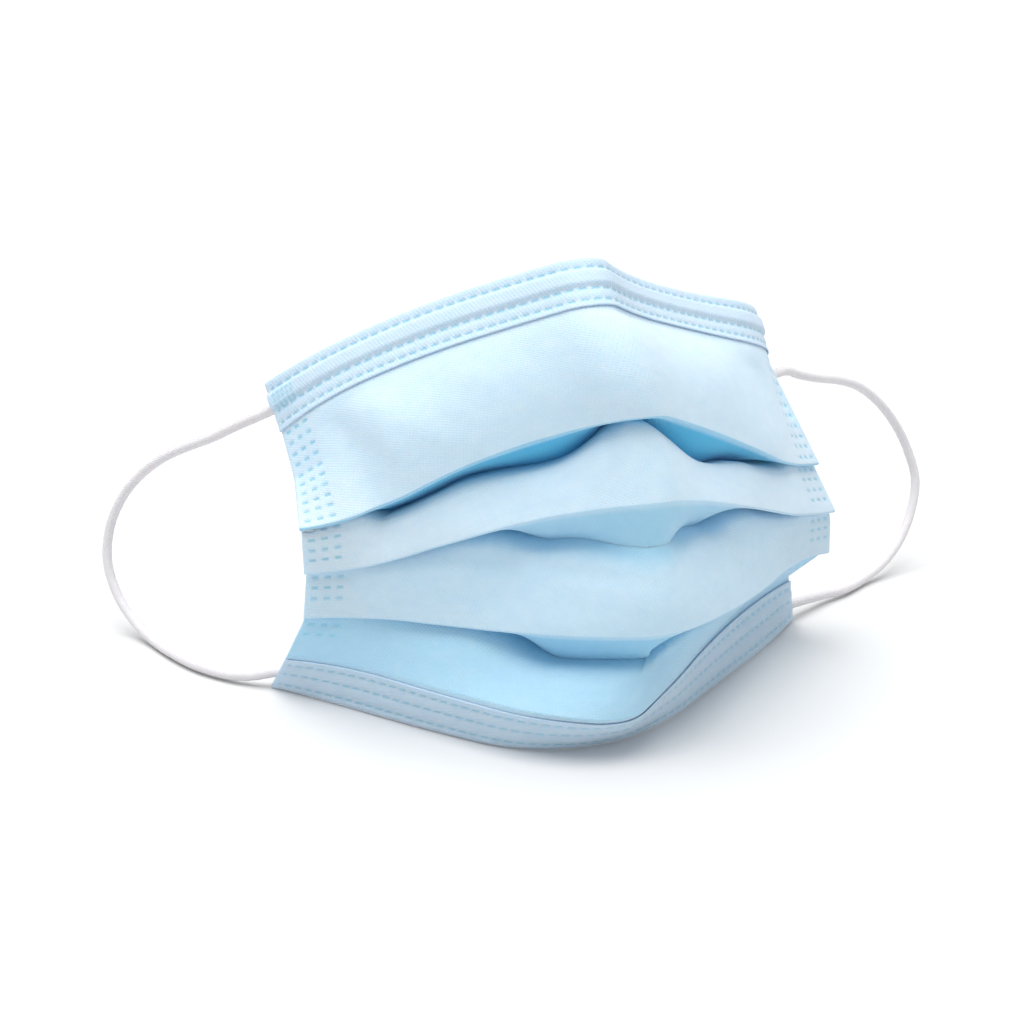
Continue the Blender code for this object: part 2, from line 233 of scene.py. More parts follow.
# Soft dents at a place across and a height over the floor, and ridges where the depth is negative
SOFT_DENTS = (
    {"place": 0.019, "above": 0.0632, "wide": 0.006, "tall": 0.010, "depth": 0.0016},
    {"place": 0.034, "above": 0.0743, "wide": 0.010, "tall": 0.007, "depth": -0.0010},
    {"place": 0.150, "above": 0.0679, "wide": 0.007, "tall": 0.009, "depth": 0.0010},
    {"place": 0.020, "above": 0.0495, "wide": 0.004, "tall": 0.006, "depth": 0.0008},
    {"place": 0.058, "above": 0.0430, "wide": 0.022, "tall": 0.0018, "depth": 0.0007},
)

# Painted shade in each pleat, as a share of the cloth's painted shade colour: on its underlay, fading out
# down the panel that hangs from it, and all over that panel
PAINTED_PLEAT_SHADES = {
    "fold_1": {"underlay": 1, "panel": 0},
    "fold_2": {"underlay": 0.45, "panel": 0.08},
    "fold_3": {"underlay": 0.6, "panel": 0.34},
}
PAINTED_SHADE_FADE = 0.009

# Colours of the cloths, with the painted shade colour that the pleats of the outer and inner cloth darken
# towards
CLOTH_COLOURS = {
    "outer_cloth": {
        "deep": (0.56, 0.73, 0.91),
        "pale": (0.66, 0.80, 0.95),
        "welded": (0.33, 0.62, 0.82),
        # painted shade: the deep blue of the shaded pockets under the pleats
        "painted_shade_colour": (0.08, 0.46, 0.72),
    },
    "inner_cloth": {
        "deep": (0.80, 0.82, 0.84),
        "pale": (0.88, 0.89, 0.90),
        "welded": (0.75, 0.80, 0.84),
        # painted shade on the inner side of the pleats
        "painted_shade_colour": (0.80, 0.84, 0.88),
    },
    "binding_cloth": {
        "deep": (0.50, 0.665, 0.86),
        "pale": (0.58, 0.73, 0.90),
        "welded": (0.36, 0.63, 0.83),
    },
}
CLOTH_FINISH = {
    "Specular IOR Level": 0.3,
    "Sheen Weight": 0.2,
    "Sheen Roughness": 0.5,
    "Subsurface Weight": 0.35,
    "Subsurface Radius": (0.5, 0.9, 1.3),
    "Subsurface Scale": 0.001,
}
CLOTH_ROUGHNESS = 0.78
WELD_GLOSS = 0.3

# Textures of the cloth: sizes in metres, turned by degrees
CLOUD_SIZE = (0.0045, 0.0032)
CLOUD_DETAIL = 3
FIBRE_SIZE = (0.0004, 0.0009)
FIBRE_TURN = 25
FIBRE_DETAIL = 2
FIBRE_SHARE = 0.9
RIB_SIZE = (0.00062, 0.00062)
RIB_TURN = 62
CROSS_RIB_SIZE = (0.00085, 0.00085)
CROSS_RIB_TURN = -28
CLOTH_RELIEF = 0.00007
CLOTH_BUMP = 1.0

# Elastic of the ear loops
ELASTIC_DEEP = (0.70, 0.68, 0.71)
ELASTIC_PALE = (0.79, 0.77, 0.79)
ELASTIC_FINISH = {
    "Roughness": 0.75,
    "Sheen Weight": 0.3,
    "Subsurface Weight": 0.2,
    "Subsurface Radius": (1, 0.8, 0.8),
    "Subsurface Scale": 0.001,
}
ELASTIC_CLOUD_SIZE = (0.002, 0.002)
ELASTIC_CLOUD_DETAIL = 2
KNIT_SIZE = (0.0006, 0.0006)
KNIT_TURN = 40
ELASTIC_RELIEF = 0.00008
ELASTIC_BUMP = 0.8

# Wave texture with bands about one unit apart
WAVE_SETTINGS = {"Scale": 0.3183, "Distortion": 1.2, "Detail Scale": 0.6}

# Floor and sky
FLOOR_REACH = 5
FLOOR_FINISH = {
    "Base Color": (0.70, 0.70, 0.70, 1),
    "Roughness": 0.9,
    "Specular IOR Level": 0.1,
}
SKY_SETTINGS = {"Color": (0.97, 0.99, 1.0, 1), "Strength": 0.46}

# Lights, in metres and watts, and the point that they are aimed at
LIGHTS = {
    "key": {"location": (-0.45, 0.45, 4.0), "size": 4.2, "power": 240},
    "fill": {"location": (0.9, -2.4, 2.1), "size": 2.0, "power": 10},
}
LIGHT_AIM = Vector((0, 0, 0.05))

# Camera of the photo: angles in degrees, lens and sensor in millimetres
CAMERA_TARGET = Vector((-0.0287, -0.0088, 0.06515))
CAMERA_AZIMUTH = -19.0
CAMERA_ELEVATION = 21.98
CAMERA_DISTANCE = 0.52219
CAMERA_LENS = 85
CAMERA_SENSOR = 36
CAMERA_CLIP_START = 0.01

HALF_WIDTH = MASK_WIDTH / 2
EDGE_HEIGHT = BINDING_OFFSET + CLOTH_WALL / 2
CUT_HEIGHT = TOP_PANEL + 2 * PLEAT_STEP + LOWER_PANEL + 6 * PLEAT_DEPTH
UPWARD = Vector((0, 0, 1))
WELDED_SHARE = 1 - STRIP_WIDTH / HALF_WIDTH
HANGING_LENGTH = PLEAT_DEPTH + PLEAT_STEP
LOWER_LENGTH = PLEAT_DEPTH + LOWER_PANEL - BINDING_WIDTH
UPPER_LENGTH = TOP_PANEL - BINDING_WIDTH
FOLD_DISTANCE = PLEAT_STEP + 2 * PLEAT_DEPTH

# Visible parts of the side strips: where each ends at a fold or hem, and its number of dash rows
STRIP_PANELS = {
    "upper": {"ends": TOP_PANEL, "rows": 10},
    "second": {"ends": TOP_PANEL + FOLD_DISTANCE, "rows": 4},
    "third": {"ends": TOP_PANEL + 2 * FOLD_DISTANCE, "rows": 4},
    "lower": {"ends": CUT_HEIGHT - BINDING_WIDTH, "rows": 4},
}


def span_of(values, share):
    """The two values of a table row that a share of its length lies between, and how far along."""
    place = min(max(share, 0), 1) * (len(values) - 1)
    index = min(int(place), len(values) - 2)
    return values[index], values[index + 1], place - index


def blend(values, share):
    """Read a table row of a middle, two thirds and an end value at a share of the half width."""
    low, high, part = span_of(values, share)
    return low + (high - low) * part


def smooth_step(value):
    value = min(max(value, 0), 1)
    return value * value * (3 - 2 * value)


def fold_line(name):
    """Closely spaced points of one fold line, from the left edge to the right edge."""
    row = FOLD_LINES[name]
    height = EDGE_HEIGHT + row["above"] * NOSE_HEIGHT
    middle = Vector((row["right"] * MASK_WIDTH, row["behind"] * POUCH_REACH, height))
    count = round(HALF_WIDTH / LINE_STEP)
    halves = {}
    for side, sign in (("left", -1), ("right", 1)):
        points = [middle]
        for index in range(count):
            share = (index + 0.5) / count
            rounding = min(share / MIDDLE_ROUNDING, 1)
            yaw = math.radians(blend(YAW[name][side], share)) * rounding
            slope = math.radians(blend(SLOPE[name][side], share)) * rounding
            level = math.cos(slope)
            along = Vector((sign * math.cos(yaw) * level, math.sin(yaw) * level, -math.sin(slope)))
            points.append(points[-1] + along * LINE_STEP)
        halves[side] = points
    return halves["left"][:0:-1] + halves["right"]


def line_at(line, place):
    """Point of a fold line at a distance from its left end."""
    spot = min(max(place / LINE_STEP, 0), len(line) - 1 - LINE_END_GAP)
    index = int(spot)
    return line[index].lerp(line[index + 1], spot - index)


def across(line, place):
    """Direction along a fold line, towards the right."""
    reach = 2 * LINE_STEP
    return (line_at(line, place + reach) - line_at(line, place - reach)).normalized()


def side_share(place):
    """Which half of the mask a place is on, and its share of that half from the middle."""
    offset = place - HALF_WIDTH
    return ("left" if offset < 0 else "right"), abs(offset) / HALF_WIDTH


def steps_for(length, spacing):
    return max(2, round(length / spacing))


def spaced(start, end, spacing):
    """Even distances after start up to end."""
    steps = steps_for(end - start, spacing)
    return [start + (end - start) * step / steps for step in range(1, steps + 1)]


def hanging_rows(length):
    """Distances down a panel that hangs from a pleat, closer together where it shows."""
    return spaced(0, PLEAT_DEPTH, HIDDEN_SPACING) + spaced(PLEAT_DEPTH, length, ROW_SPACING)


def bulge_of(chord, length):
    """Height of a shallow bow that makes a straight chord as long as the cloth over it."""
    slack = max(length - chord, 0)
    return min(math.sqrt(BOW_RATIO * chord * slack), DEEPEST_BOW * chord)


def hook(start, leaving, end, arriving, steps):
    """Points after start up to end on a curve with a given direction at both ends."""
    points = []
    for index in range(1, steps + 1):
        share = index / steps
        square, cube = share ** 2, share ** 3
        point = start * (2 * cube - 3 * square + 1) + leaving * (cube - 2 * square + share)
        point += end * (3 * square - 2 * cube) + arriving * (cube - square)
        points.append(point)
    return points


class Pleat:
    """One pleat at one place: the fold at its front, the underlay behind it and the turn above."""

    def __init__(self, fold, above, opening, tangent):
        up = (above - fold).normalized()
        angle = math.radians(opening)
        turn = LAYER_PITCH / 2
        self.outward = tangent.cross(up).normalized()
        self.closed = (1 + math.cos(angle)) / 2
        self.underlay = up * math.cos(angle) - self.outward * math.sin(angle)
        self.inset = -self.outward * LAYER_PITCH * self.closed
        self.pull = turn * (2 + 2 * self.closed)
        self.up = up
        self.front = fold + up * turn
        self.start = fold + self.inset + self.underlay * turn
        self.end = self.start + self.underlay * (PLEAT_DEPTH - 2 * turn)
        self.leaving = self.end + self.inset
        self.behind = fold + self.inset * 2

    def points(self, below):
        """Points round the fold, up the underlay and round its upper turn, towards the panel below."""
        down = -self.up * self.pull
        away = self.underlay * self.pull
        points = hook(self.front, down, self.start, away, TURN_ROWS)
        points += [self.start.lerp(self.end, share) for share in spaced(0, 1, HIDDEN_SPACING / PLEAT_DEPTH)]
        pressed = (self.behind - self.leaving).normalized()
        free = (below - self.leaving).normalized()
        onward = free.lerp(pressed, self.closed).normalized() * self.pull
        points += hook(self.end, away, self.leaving, onward, TURN_ROWS)
        return points


def upper_bow(share, bow):
    """Outward share of the bulge down the upper panel: round, or creased where bow is negative."""
    sharpness = smooth_step((1 - bow) / 2)
    round_bow = 4 * share * (1 - share)
    rising = min(share / CREASE_SHARE, (1 - share) / (1 - CREASE_SHARE))
    creased = (1 - CREASE_ROUNDNESS) * rising + CREASE_ROUNDNESS * round_bow
    return bow * (round_bow + (creased - round_bow) * sharpness)


def upper_panel(start, end, outward, bow):
    """The panel above the first pleat."""
    bulge = bulge_of((end - start).length, UPPER_LENGTH)
    points = []
    for distance in spaced(0, UPPER_LENGTH, ROW_SPACING):
        share = distance / UPPER_LENGTH
        points.append(start.lerp(end, share) + outward * bulge * upper_bow(share, bow))
    return points


def hanging_panel(pleat, end, outward, length, bow):
    """The panel below a pleat: pressed behind the fold where that is closed, else bowed outward."""
    start, behind = pleat.leaving, pleat.behind
    bulge = bulge_of((end - start).length, length) * bow
    first = (behind - start).length
    second = (end - behind).length

    def pressed(walked):
        if walked < first:
            return start.lerp(behind, max(walked, 0) / first)
        return behind.lerp(end, min((walked - first) / second, 1))

    points = []
    for distance in hanging_rows(length):
        share = distance / length
        free = start.lerp(end, share) + outward * bulge * 4 * share * (1 - share)
        walked = (first + second) * share
        room = min(PRESS_ROUNDING, walked, first + second - walked)
        flat = (pressed(walked - room) + pressed(walked) * 2 + pressed(walked + room)) / 4
        points.append(free.lerp(flat, pleat.closed))
    return points


def opening_at(name, side, share):
    """How far a pleat is open at a share of the half width: the side strips hold it closed."""
    low, high, part = span_of(OPENING[name][side], share / WELDED_SHARE)
    free = low + (high - low) * smooth_step(part)
    return free * smooth_step((WELDED_SHARE - share) / WELDED_FADE)


def cloth_section(lines, place):
    """Points of the cloth at one place across, from the top edge down to the lower edge."""
    side, share = side_share(place)
    spot = {name: line_at(line, place) for name, line in lines.items()}
    top, hem = spot["top_edge"], spot["top_hem"]
    rim = top + (hem - top).normalized() * (BINDING_OFFSET + CLOTH_WALL)
    band = spaced(0, 1, BAND_SPACING / BINDING_WIDTH)
    points = [rim] + [rim.lerp(hem, along) for along in band]
    bow = blend(UPPER_BOW[side], share)
    fold = spot["fold_1"]
    outward = across(lines["fold_1"], place).cross(hem - fold).normalized()
    bulge = bulge_of((fold - hem).length - LAYER_PITCH / 2, UPPER_LENGTH)
    crease = hem.lerp(fold, CREASE_SHARE) + outward * bulge * upper_bow(CREASE_SHARE, bow)
    above = hem.lerp(crease, smooth_step(-bow / CREASED_BOW))
    pleats = []
    for name in OPENING:
        opening = opening_at(name, side, share)
        pleats.append(Pleat(spot[name], above, opening, across(lines[name], place)))
        above = pleats[-1].behind
    first, second, third = pleats
    points += upper_panel(hem, first.front, outward, bow)
    points += first.points(second.front)
    points += hanging_panel(first, second.front, second.outward, HANGING_LENGTH, PANEL_BOW)
    points += second.points(third.front)
    points += hanging_panel(second, third.front, third.outward, HANGING_LENGTH, PANEL_BOW)
    hem, edge = spot["lower_hem"], spot["lower_edge"]
    points += third.points(hem)
    outward = across(lines["lower_hem"], place).cross(third.behind - hem).normalized()
    points += hanging_panel(third, hem, outward, LOWER_LENGTH, LOWER_PANEL_BOW)
    rim = edge + (hem - edge).normalized() * CLOTH_WALL
    points += [hem.lerp(rim, along) for along in band]
    return points


def flat_rows():
    """Flat distance below the top edge of each row of the cloth, and how much painted shade it gets."""
    band = spaced(0, BINDING_WIDTH, BAND_SPACING)
    heights = [0.0, *band]
    painted_shades = [0.0] * len(heights)

    def add(distances, shade):
        start = heights[-1]
        heights.extend(start + distance for distance in distances)
        painted_shades.extend([shade] * len(distances))

    turn = LAYER_PITCH / 2
    around = spaced(0, 2 * turn, 2 * turn / TURN_ROWS)
    add(spaced(0, UPPER_LENGTH, ROW_SPACING), 0)
    # Painted shade: each pleat's underlay and the panel below it get a share of the painted shade colour,
    # fading down the panel
    lengths = {"fold_1": HANGING_LENGTH, "fold_2": HANGING_LENGTH, "fold_3": LOWER_LENGTH}
    for name, length in lengths.items():
        underlay, panel = PAINTED_PLEAT_SHADES[name]["underlay"], PAINTED_PLEAT_SHADES[name]["panel"]
        add(around, underlay / 2)
        add(spaced(0, PLEAT_DEPTH, HIDDEN_SPACING), underlay)
        add(around, underlay)
        rows = hanging_rows(length)
        add(rows, 0)
        fades = [smooth_step(1 - row / PAINTED_SHADE_FADE) for row in rows]
        painted_shades[-len(rows):] = [panel + (underlay - panel) * fade for fade in fades]
    add(band, 0)
    return heights, painted_shades


def dash(along, beside, length, height):
    """How deep a place lies in a welded dash, from 0 outside it to 1 in it."""
    inside = smooth_step((length / 2 - abs(along)) / DASH_SOFTNESS + 0.5)
    return inside * smooth_step((height / 2 - abs(beside)) / DASH_SOFTNESS + 0.5)


def strip_weld(place, height):
    """Weld depth on a side strip at a flat place and height."""
    from_side = min(place, MASK_WIDTH - place)
    deepest = 0
    for panel in STRIP_PANELS.values():
        above = panel["ends"] - STRIP_FIRST_ROW - height
        row = round(above / STRIP_ROW_PITCH)
        if not 0 <= row < panel["rows"]:
            continue
        beside = above - row * STRIP_ROW_PITCH
        for column in STRIP_COLUMNS:
            depth = dash(from_side - column, beside, STRIP_DASH_LENGTH, DASH_HEIGHT)
            deepest = max(deepest, depth)
    return deepest


def row_weld(place, distance, rows):
    """Weld depth on a binding at a flat place and a distance from its edge."""
    along = (place % DASH_PITCH) - DASH_PITCH / 2
    if min(place, MASK_WIDTH - place) < DASH_PITCH / 2:
        return 0
    return max(dash(along, distance - row, DASH_LENGTH, DASH_HEIGHT) for row in rows)


def corner_weld(place, distance):
    """Weld depth in the block of square dots that fixes the left ear loop behind the nose band."""
    column = round((place - CORNER_START) / CORNER_PITCH)
    row = round((distance - CORNER_FIRST_ROW) / CORNER_PITCH)
    if not (0 <= column < CORNER_COLUMNS and 0 <= row < CORNER_ROWS):
        return 0
    along = place - CORNER_START - column * CORNER_PITCH
    beside = distance - CORNER_FIRST_ROW - row * CORNER_PITCH
    return dash(along, beside, CORNER_DOT, CORNER_DOT)


def mesh_object(name, vertices, faces, places, materials):
    """A smooth mesh with the flat place of each vertex as UV."""
    mesh = bpy.data.meshes.new(name)
    mesh.from_pydata(vertices, [], faces)
    mesh.shade_smooth()
    for finish in materials:
        mesh.materials.append(finish)
    layer = mesh.uv_layers.new(name="flat")
    for loop in mesh.loops:
        layer.data[loop.index].uv = places[loop.vertex_index]
    result = bpy.data.objects.new(name, mesh)
    bpy.context.scene.collection.objects.link(result)
    return result


def grid_object(name, columns, attributes, flats, materials):
    """A sheet through columns of points, thickened evenly to both sides."""
    height = len(columns[0])
    vertices = [point for column in columns for point in column]
    faces = []
    for column in range(len(columns) - 1):
        for row in range(height - 1):
            first = column * height + row
            faces.append((first, first + 1, first + height + 1, first + height))
    places = [place for column in flats for place in column]
    result = mesh_object(name, vertices, faces, places, materials)
    for title, values in attributes.items():
        attribute = result.data.attributes.new(title, "FLOAT", "POINT")
        attribute.data.foreach_set("value", [value for column in values for value in column])
    solid = result.modifiers.new("wall", "SOLIDIFY")
    solid.thickness = CLOTH_WALL
    solid.offset = 0
    solid.material_offset = len(materials) - 1
    return result


def normals_of(columns):
    """Unit normal at each point of a grid of columns, towards the front of the cloth."""
    last = len(columns) - 1
    bottom = len(columns[0]) - 1
    normals = []
    for index, column in enumerate(columns):
        left = columns[max(index - 1, 0)]
        right = columns[min(index + 1, last)]
        row_normals = []
        for row in range(bottom + 1):
            down = column[min(row + 1, bottom)] - column[max(row - 1, 0)]
            sideways = right[row] - left[row]
            row_normals.append(down.cross(sideways).normalized())
        normals.append(row_normals)
    return normals


def crumple(place, height, above):
    """Gentle unevenness of the cloth: layers that lie on each other move together.

    It fades towards the side strips and bindings. The height is flat, above is over the floor.
    """
    from_binding = min(height, CUT_HEIGHT - height) - BINDING_WIDTH
    fade = smooth_step((CRUMPLE_END_SHARE - side_share(place)[1]) / CRUMPLE_SIDE_FADE)
    fade *= smooth_step(from_binding / CRUMPLE_BINDING_FADE)
    shift = 0
    for row in CRUMPLES:
        spot = Vector((place / row["wide"], above / row["tall"], row["layer"]))
        shift += row["height"] * noise.noise(spot)
    for row in SOFT_DENTS:
        sideways = (place - row["place"]) / row["wide"]
        upwards = (above - row["above"]) / row["tall"]
        shift -= row["depth"] * math.exp(-sideways ** 2 - upwards ** 2)
    return fade * shift


def cloth_piece(name, lines, materials):
    """The whole pleated cloth with its side strips, with close columns where the strips are."""
    inner_edge = MASK_WIDTH - STRIP_WIDTH
    places = [0.0, *spaced(0, STRIP_WIDTH, STRIP_SPACING)]
    places += spaced(STRIP_WIDTH, inner_edge, MIDDLE_SPACING)
    places += spaced(inner_edge, MASK_WIDTH, STRIP_SPACING)
    heights, painted_shades = flat_rows()
    columns = [cloth_section(lines, place) for place in places]
    normals = normals_of(columns)
    welds = []
    flats = []
    for place, column, row_normals in zip(places, columns, normals):
        outward = across(lines["fold_2"], place).cross(UPWARD).normalized()
        depths = [strip_weld(place, height) for height in heights]
        for row, height in enumerate(heights):
            shift = outward * crumple(place, height, column[row].z)
            column[row] = column[row] + shift - row_normals[row] * DENT_DEPTH * depths[row]
        welds.append(depths)
        flats.append([(place, height) for height in heights])
    # The painted shade of each row goes to the materials as an attribute beside the weld depths
    attributes = {"weld": welds, "painted_pleat_shade": [painted_shades] * len(places)}
    return grid_object(name, columns, attributes, flats, materials)


def facing(edge_line, hem_line, place, share):
    """Outward direction of an edge band at a share of the way from its edge to its hem."""
    upward = line_at(edge_line, place) - line_at(hem_line, place)
    tangent = across(edge_line, place).lerp(across(hem_line, place), share)
    outward = tangent.cross(upward).normalized()
    if outward.y > 0:
        outward = -outward
    return outward


def band_height(place, distance, rows, channel):
    """Height of a binding's outer face over the middle of the cloth, and its weld depth."""
    weld = row_weld(place, distance, rows)
    nearest = min(abs(distance - row) for row in rows)
    puffed = smooth_step(nearest / PUFF_REACH) * PUFF_RISE
    rise = 0
    if channel:
        into = smooth_step((distance - CHANNEL_START) / CHANNEL_FIRST_RAMP)
        rise = CHANNEL_RISE * into * smooth_step((CHANNEL_END - distance) / CHANNEL_LAST_RAMP)
    return BINDING_OFFSET + puffed + rise - DENT_DEPTH * weld, weld


def binding_section(edge_line, hem_line, place, rows, channel):
    """Points of a binding at one place, with their weld depths and flat places: front, turn and back."""
    edge, hem = line_at(edge_line, place), line_at(hem_line, place)
    width = (hem - edge).length
    inner = (hem - edge).normalized()
    leg = BINDING_WIDTH - HEM_MARGIN
    steps = steps_for(leg, BINDING_SPACING)
    distances = [BINDING_OFFSET + (leg - BINDING_OFFSET) * step / steps for step in range(steps, 0, -1)]
    column, depths, spots = [], [], []
    for distance in distances:
        height, weld = band_height(place, distance, rows, channel)
        if channel:
            weld = max(weld, corner_weld(place, distance))
        outward = facing(edge_line, hem_line, place, distance / width)
        column.append(edge + inner * distance + outward * height)
        depths.append(weld)
        spots.append((place, BINDING_WIDTH - distance))
    outward = facing(edge_line, hem_line, place, 0)
    for turn in range(EDGE_TURN_ROWS + 1):
        angle = math.pi * turn / EDGE_TURN_ROWS
        round_edge = outward * math.cos(angle) - inner * math.sin(angle)
        column.append(edge + inner * BINDING_OFFSET + round_edge * BINDING_OFFSET)
        depths.append(0)
        spots.append((place, BINDING_WIDTH + BINDING_OFFSET * angle))
    for distance in reversed(distances):
        height, weld = band_height(place, distance, rows, False)
        outward = facing(edge_line, hem_line, place, distance / width)
        column.append(edge + inner * distance - outward * height)
        depths.append(weld)
        spots.append((place, BINDING_WIDTH + distance))
    return column, depths, spots


def binding_piece(name, edge_line, hem_line, rows, channel, finish):
    """A folded strip over an edge: down its front, round the edge of the cloth and up its back."""
    count = steps_for(MASK_WIDTH, BINDING_SPACING)
    columns, welds, flats = [], [], []
    for index in range(count + 1):
        place = MASK_WIDTH * index / count
        column, depths, spots = binding_section(edge_line, hem_line, place, rows, channel)
        columns.append(column)
        welds.append(depths)
        flats.append(spots)
    return grid_object(name, columns, {"weld": welds}, flats, [finish])


def behind_edge(lines, row, side, place):
    """Point of a loop's centre line that lies against the inner side of the cloth at one place."""
    start, end = line_at(lines[row["from"]], place), line_at(lines[row["to"]], place)
    outward = facing(lines[row["from"]], lines[row["to"]], place, row["share"])
    depth = CLOTH_WALL + LOOP_DIAMETER / 2
    if row["onto"] == "binding":
        depth += BINDING_OFFSET
    else:
        bow = blend(UPPER_BOW[side], side_share(place)[1])
        depth -= bulge_of((end - start).length, UPPER_LENGTH) * upper_bow(row["share"], bow)
    return start.lerp(end, row["share"]) - outward * depth


def tack_points(lines, side, end_name):
    """The end of an ear loop inside its tack, and the point where the loop leaves the side edge."""
    row = TACKS[side][end_name]
    edge, inside = (0, LOOP_TACK) if side == "left" else (MASK_WIDTH, MASK_WIDTH - LOOP_TACK)
    return behind_edge(lines, row, side, inside), behind_edge(lines, row, side, edge)


def smooth_route(points, spacing):
    """Evenly spaced points along a smooth curve through the points of a route."""
    dense = [points[0]]
    for index in range(len(points) - 1):
        before = points[max(index - 1, 0)]
        after = points[min(index + 2, len(points) - 1)]
        start, end = points[index], points[index + 1]
        dense += hook(start, (end - before) / 2, end, (after - start) / 2, ROUTE_STEPS)
    lengths = [0.0]
    for first, second in zip(dense, dense[1:]):
        lengths.append(lengths[-1] + (second - first).length)
    count = round(lengths[-1] / spacing)
    result = []
    place = 0
    for index in range(count + 1):
        wanted = lengths[-1] * index / count
        while place < len(dense) - 2 and lengths[place + 1] < wanted:
            place += 1
        share = (wanted - lengths[place]) / (lengths[place + 1] - lengths[place])
        result.append(dense[place].lerp(dense[place + 1], share))
    return result


def loop_object(name, lines, side, finish):
    """An ear loop as a knitted tube, with the centre line that it follows."""
    upper = tack_points(lines, side, "upper")
    lower = tack_points(lines, side, "lower")
    free = [Vector(point) for point in LOOP_ROUTES[side]]
    path = smooth_route([*upper, *free, *reversed(lower)], CORD_SPACING)
    vertices = []
    places = []
    normal = UPWARD
    for index, point in enumerate(path):
        along = (path[min(index + 1, len(path) - 1)] - path[max(index - 1, 0)]).normalized()
        normal = (normal - along * normal.dot(along)).normalized()
        beside = along.cross(normal)
        taper = min(1, CORD_END_SHARE + min(index, len(path) - 1 - index) / CORD_END_RINGS)
        sway = KNIT_SWAY * math.sin(index * KNIT_PACE)
        for corner in range(CORD_SIDES):
            angle = 2 * math.pi * corner / CORD_SIDES
            knit = KNIT_RELIEF * math.cos(KNIT_RIBS * angle + sway)
            radius = LOOP_DIAMETER / 2 * (CORD_FULLNESS + knit) * taper
            vertices.append(point + (normal * math.cos(angle) + beside * math.sin(angle)) * radius)
            places.append((corner / CORD_SIDES * CORD_GIRTH, index * CORD_SPACING))
    faces = []
    for ring in range(len(path) - 1):
        for corner in range(CORD_SIDES):
            first = ring * CORD_SIDES + corner
            second = ring * CORD_SIDES + (corner + 1) % CORD_SIDES
            faces.append((first, second, second + CORD_SIDES, first + CORD_SIDES))
    faces.append(tuple(reversed(range(CORD_SIDES))))
    faces.append(tuple(range(len(vertices) - CORD_SIDES, len(vertices))))
    return mesh_object(name, vertices, faces, places, [finish]), path


def set_inputs(node, values):
    for title, value in values.items():
        node.inputs[title].default_value = value


def new_material(name):
    """A material with its node tree, shader and the flat places of the cloth as coordinates."""
    result = bpy.data.materials.new(name)
    result.use_nodes = True
    tree = result.node_tree
    shader = tree.nodes["Principled BSDF"]
    coordinates = tree.nodes.new("ShaderNodeUVMap")
    coordinates.uv_map = "flat"
    return result, tree, shader, coordinates.outputs["UV"]


def scaled(tree, source, size, turn=0):
    """Coordinates in units of a size, turned by an angle in degrees."""
    node = tree.nodes.new("ShaderNodeMapping")
    node.inputs["Scale"].default_value = (1 / size[0], 1 / size[1], 1)
    node.inputs["Rotation"].default_value = (0, 0, math.radians(turn))
    tree.links.new(source, node.inputs["Vector"])
    return node.outputs["Vector"]


def noise_of(tree, source, detail):
    node = tree.nodes.new("ShaderNodeTexNoise")
    set_inputs(node, {"Scale": 1, "Detail": detail})
    tree.links.new(source, node.inputs["Vector"])
    return node.outputs["Fac"]


def wave_of(tree, source):
    node = tree.nodes.new("ShaderNodeTexWave")
    node.bands_direction = "X"
    set_inputs(node, WAVE_SETTINGS)
    tree.links.new(source, node.inputs["Vector"])
    return node.outputs["Fac"]


def attribute_of(tree, title):
    node = tree.nodes.new("ShaderNodeAttribute")
    node.attribute_name = title
    return node.outputs["Fac"]


def maths(tree, operation, first, second):
    """Result of a sum of two values, each a number or an output."""
    node = tree.nodes.new("ShaderNodeMath")
    node.operation = operation
    for socket, value in zip(node.inputs, (first, second)):
        if isinstance(value, (int, float)):
            socket.default_value = value
        else:
            tree.links.new(value, socket)
    return node.outputs[0]


def mixed(tree, share, first, second):
    """Colour between two, each a colour or an output."""
    node = tree.nodes.new("ShaderNodeMix")
    node.data_type = "RGBA"
    colours = [socket for socket in node.inputs if socket.type == "RGBA"]
    tree.links.new(share, node.inputs["Factor"])
    for socket, value in zip(colours, (first, second)):
        if isinstance(value, tuple):
            socket.default_value = (*value, 1)
        else:
            tree.links.new(value, socket)
    return next(socket for socket in node.outputs if socket.type == "RGBA")


def bumped(tree, shader, height, distance, strength):
    node = tree.nodes.new("ShaderNodeBump")
    set_inputs(node, {"Distance": distance, "Strength": strength})
    tree.links.new(height, node.inputs["Height"])
    tree.links.new(node.outputs["Normal"], shader.inputs["Normal"])


def cloth_material(name):
    """Point-bonded nonwoven cloth with clouds of fibre, painted shade in its pleats, and glossier welded
    places.
    """
    result, tree, shader, flat = new_material(name)
    colours = CLOTH_COLOURS[name]
    clouds = noise_of(tree, scaled(tree, flat, CLOUD_SIZE), CLOUD_DETAIL)
    body = mixed(tree, clouds, colours["deep"], colours["pale"])
    # Painted shade: where the cloth has a painted shade colour, its pleat rows are mixed towards it by
    # their painted shade attribute
    if "painted_shade_colour" in colours:
        body = mixed(tree, attribute_of(tree, "painted_pleat_shade"), body, colours["painted_shade_colour"])
    weld = attribute_of(tree, "weld")
    tree.links.new(mixed(tree, weld, body, colours["welded"]), shader.inputs["Base Color"])
    fibres = noise_of(tree, scaled(tree, flat, FIBRE_SIZE, FIBRE_TURN), FIBRE_DETAIL)
    ribs = wave_of(tree, scaled(tree, flat, RIB_SIZE, RIB_TURN))
    cross_ribs = wave_of(tree, scaled(tree, flat, CROSS_RIB_SIZE, CROSS_RIB_TURN))
    bonds = maths(tree, "MULTIPLY", ribs, cross_ribs)
    height = maths(tree, "ADD", bonds, maths(tree, "MULTIPLY", fibres, FIBRE_SHARE))
    bumped(tree, shader, height, CLOTH_RELIEF, CLOTH_BUMP)
    roughness = maths(tree, "SUBTRACT", CLOTH_ROUGHNESS, maths(tree, "MULTIPLY", weld, WELD_GLOSS))
    tree.links.new(roughness, shader.inputs["Roughness"])
    set_inputs(shader, CLOTH_FINISH)
    return result


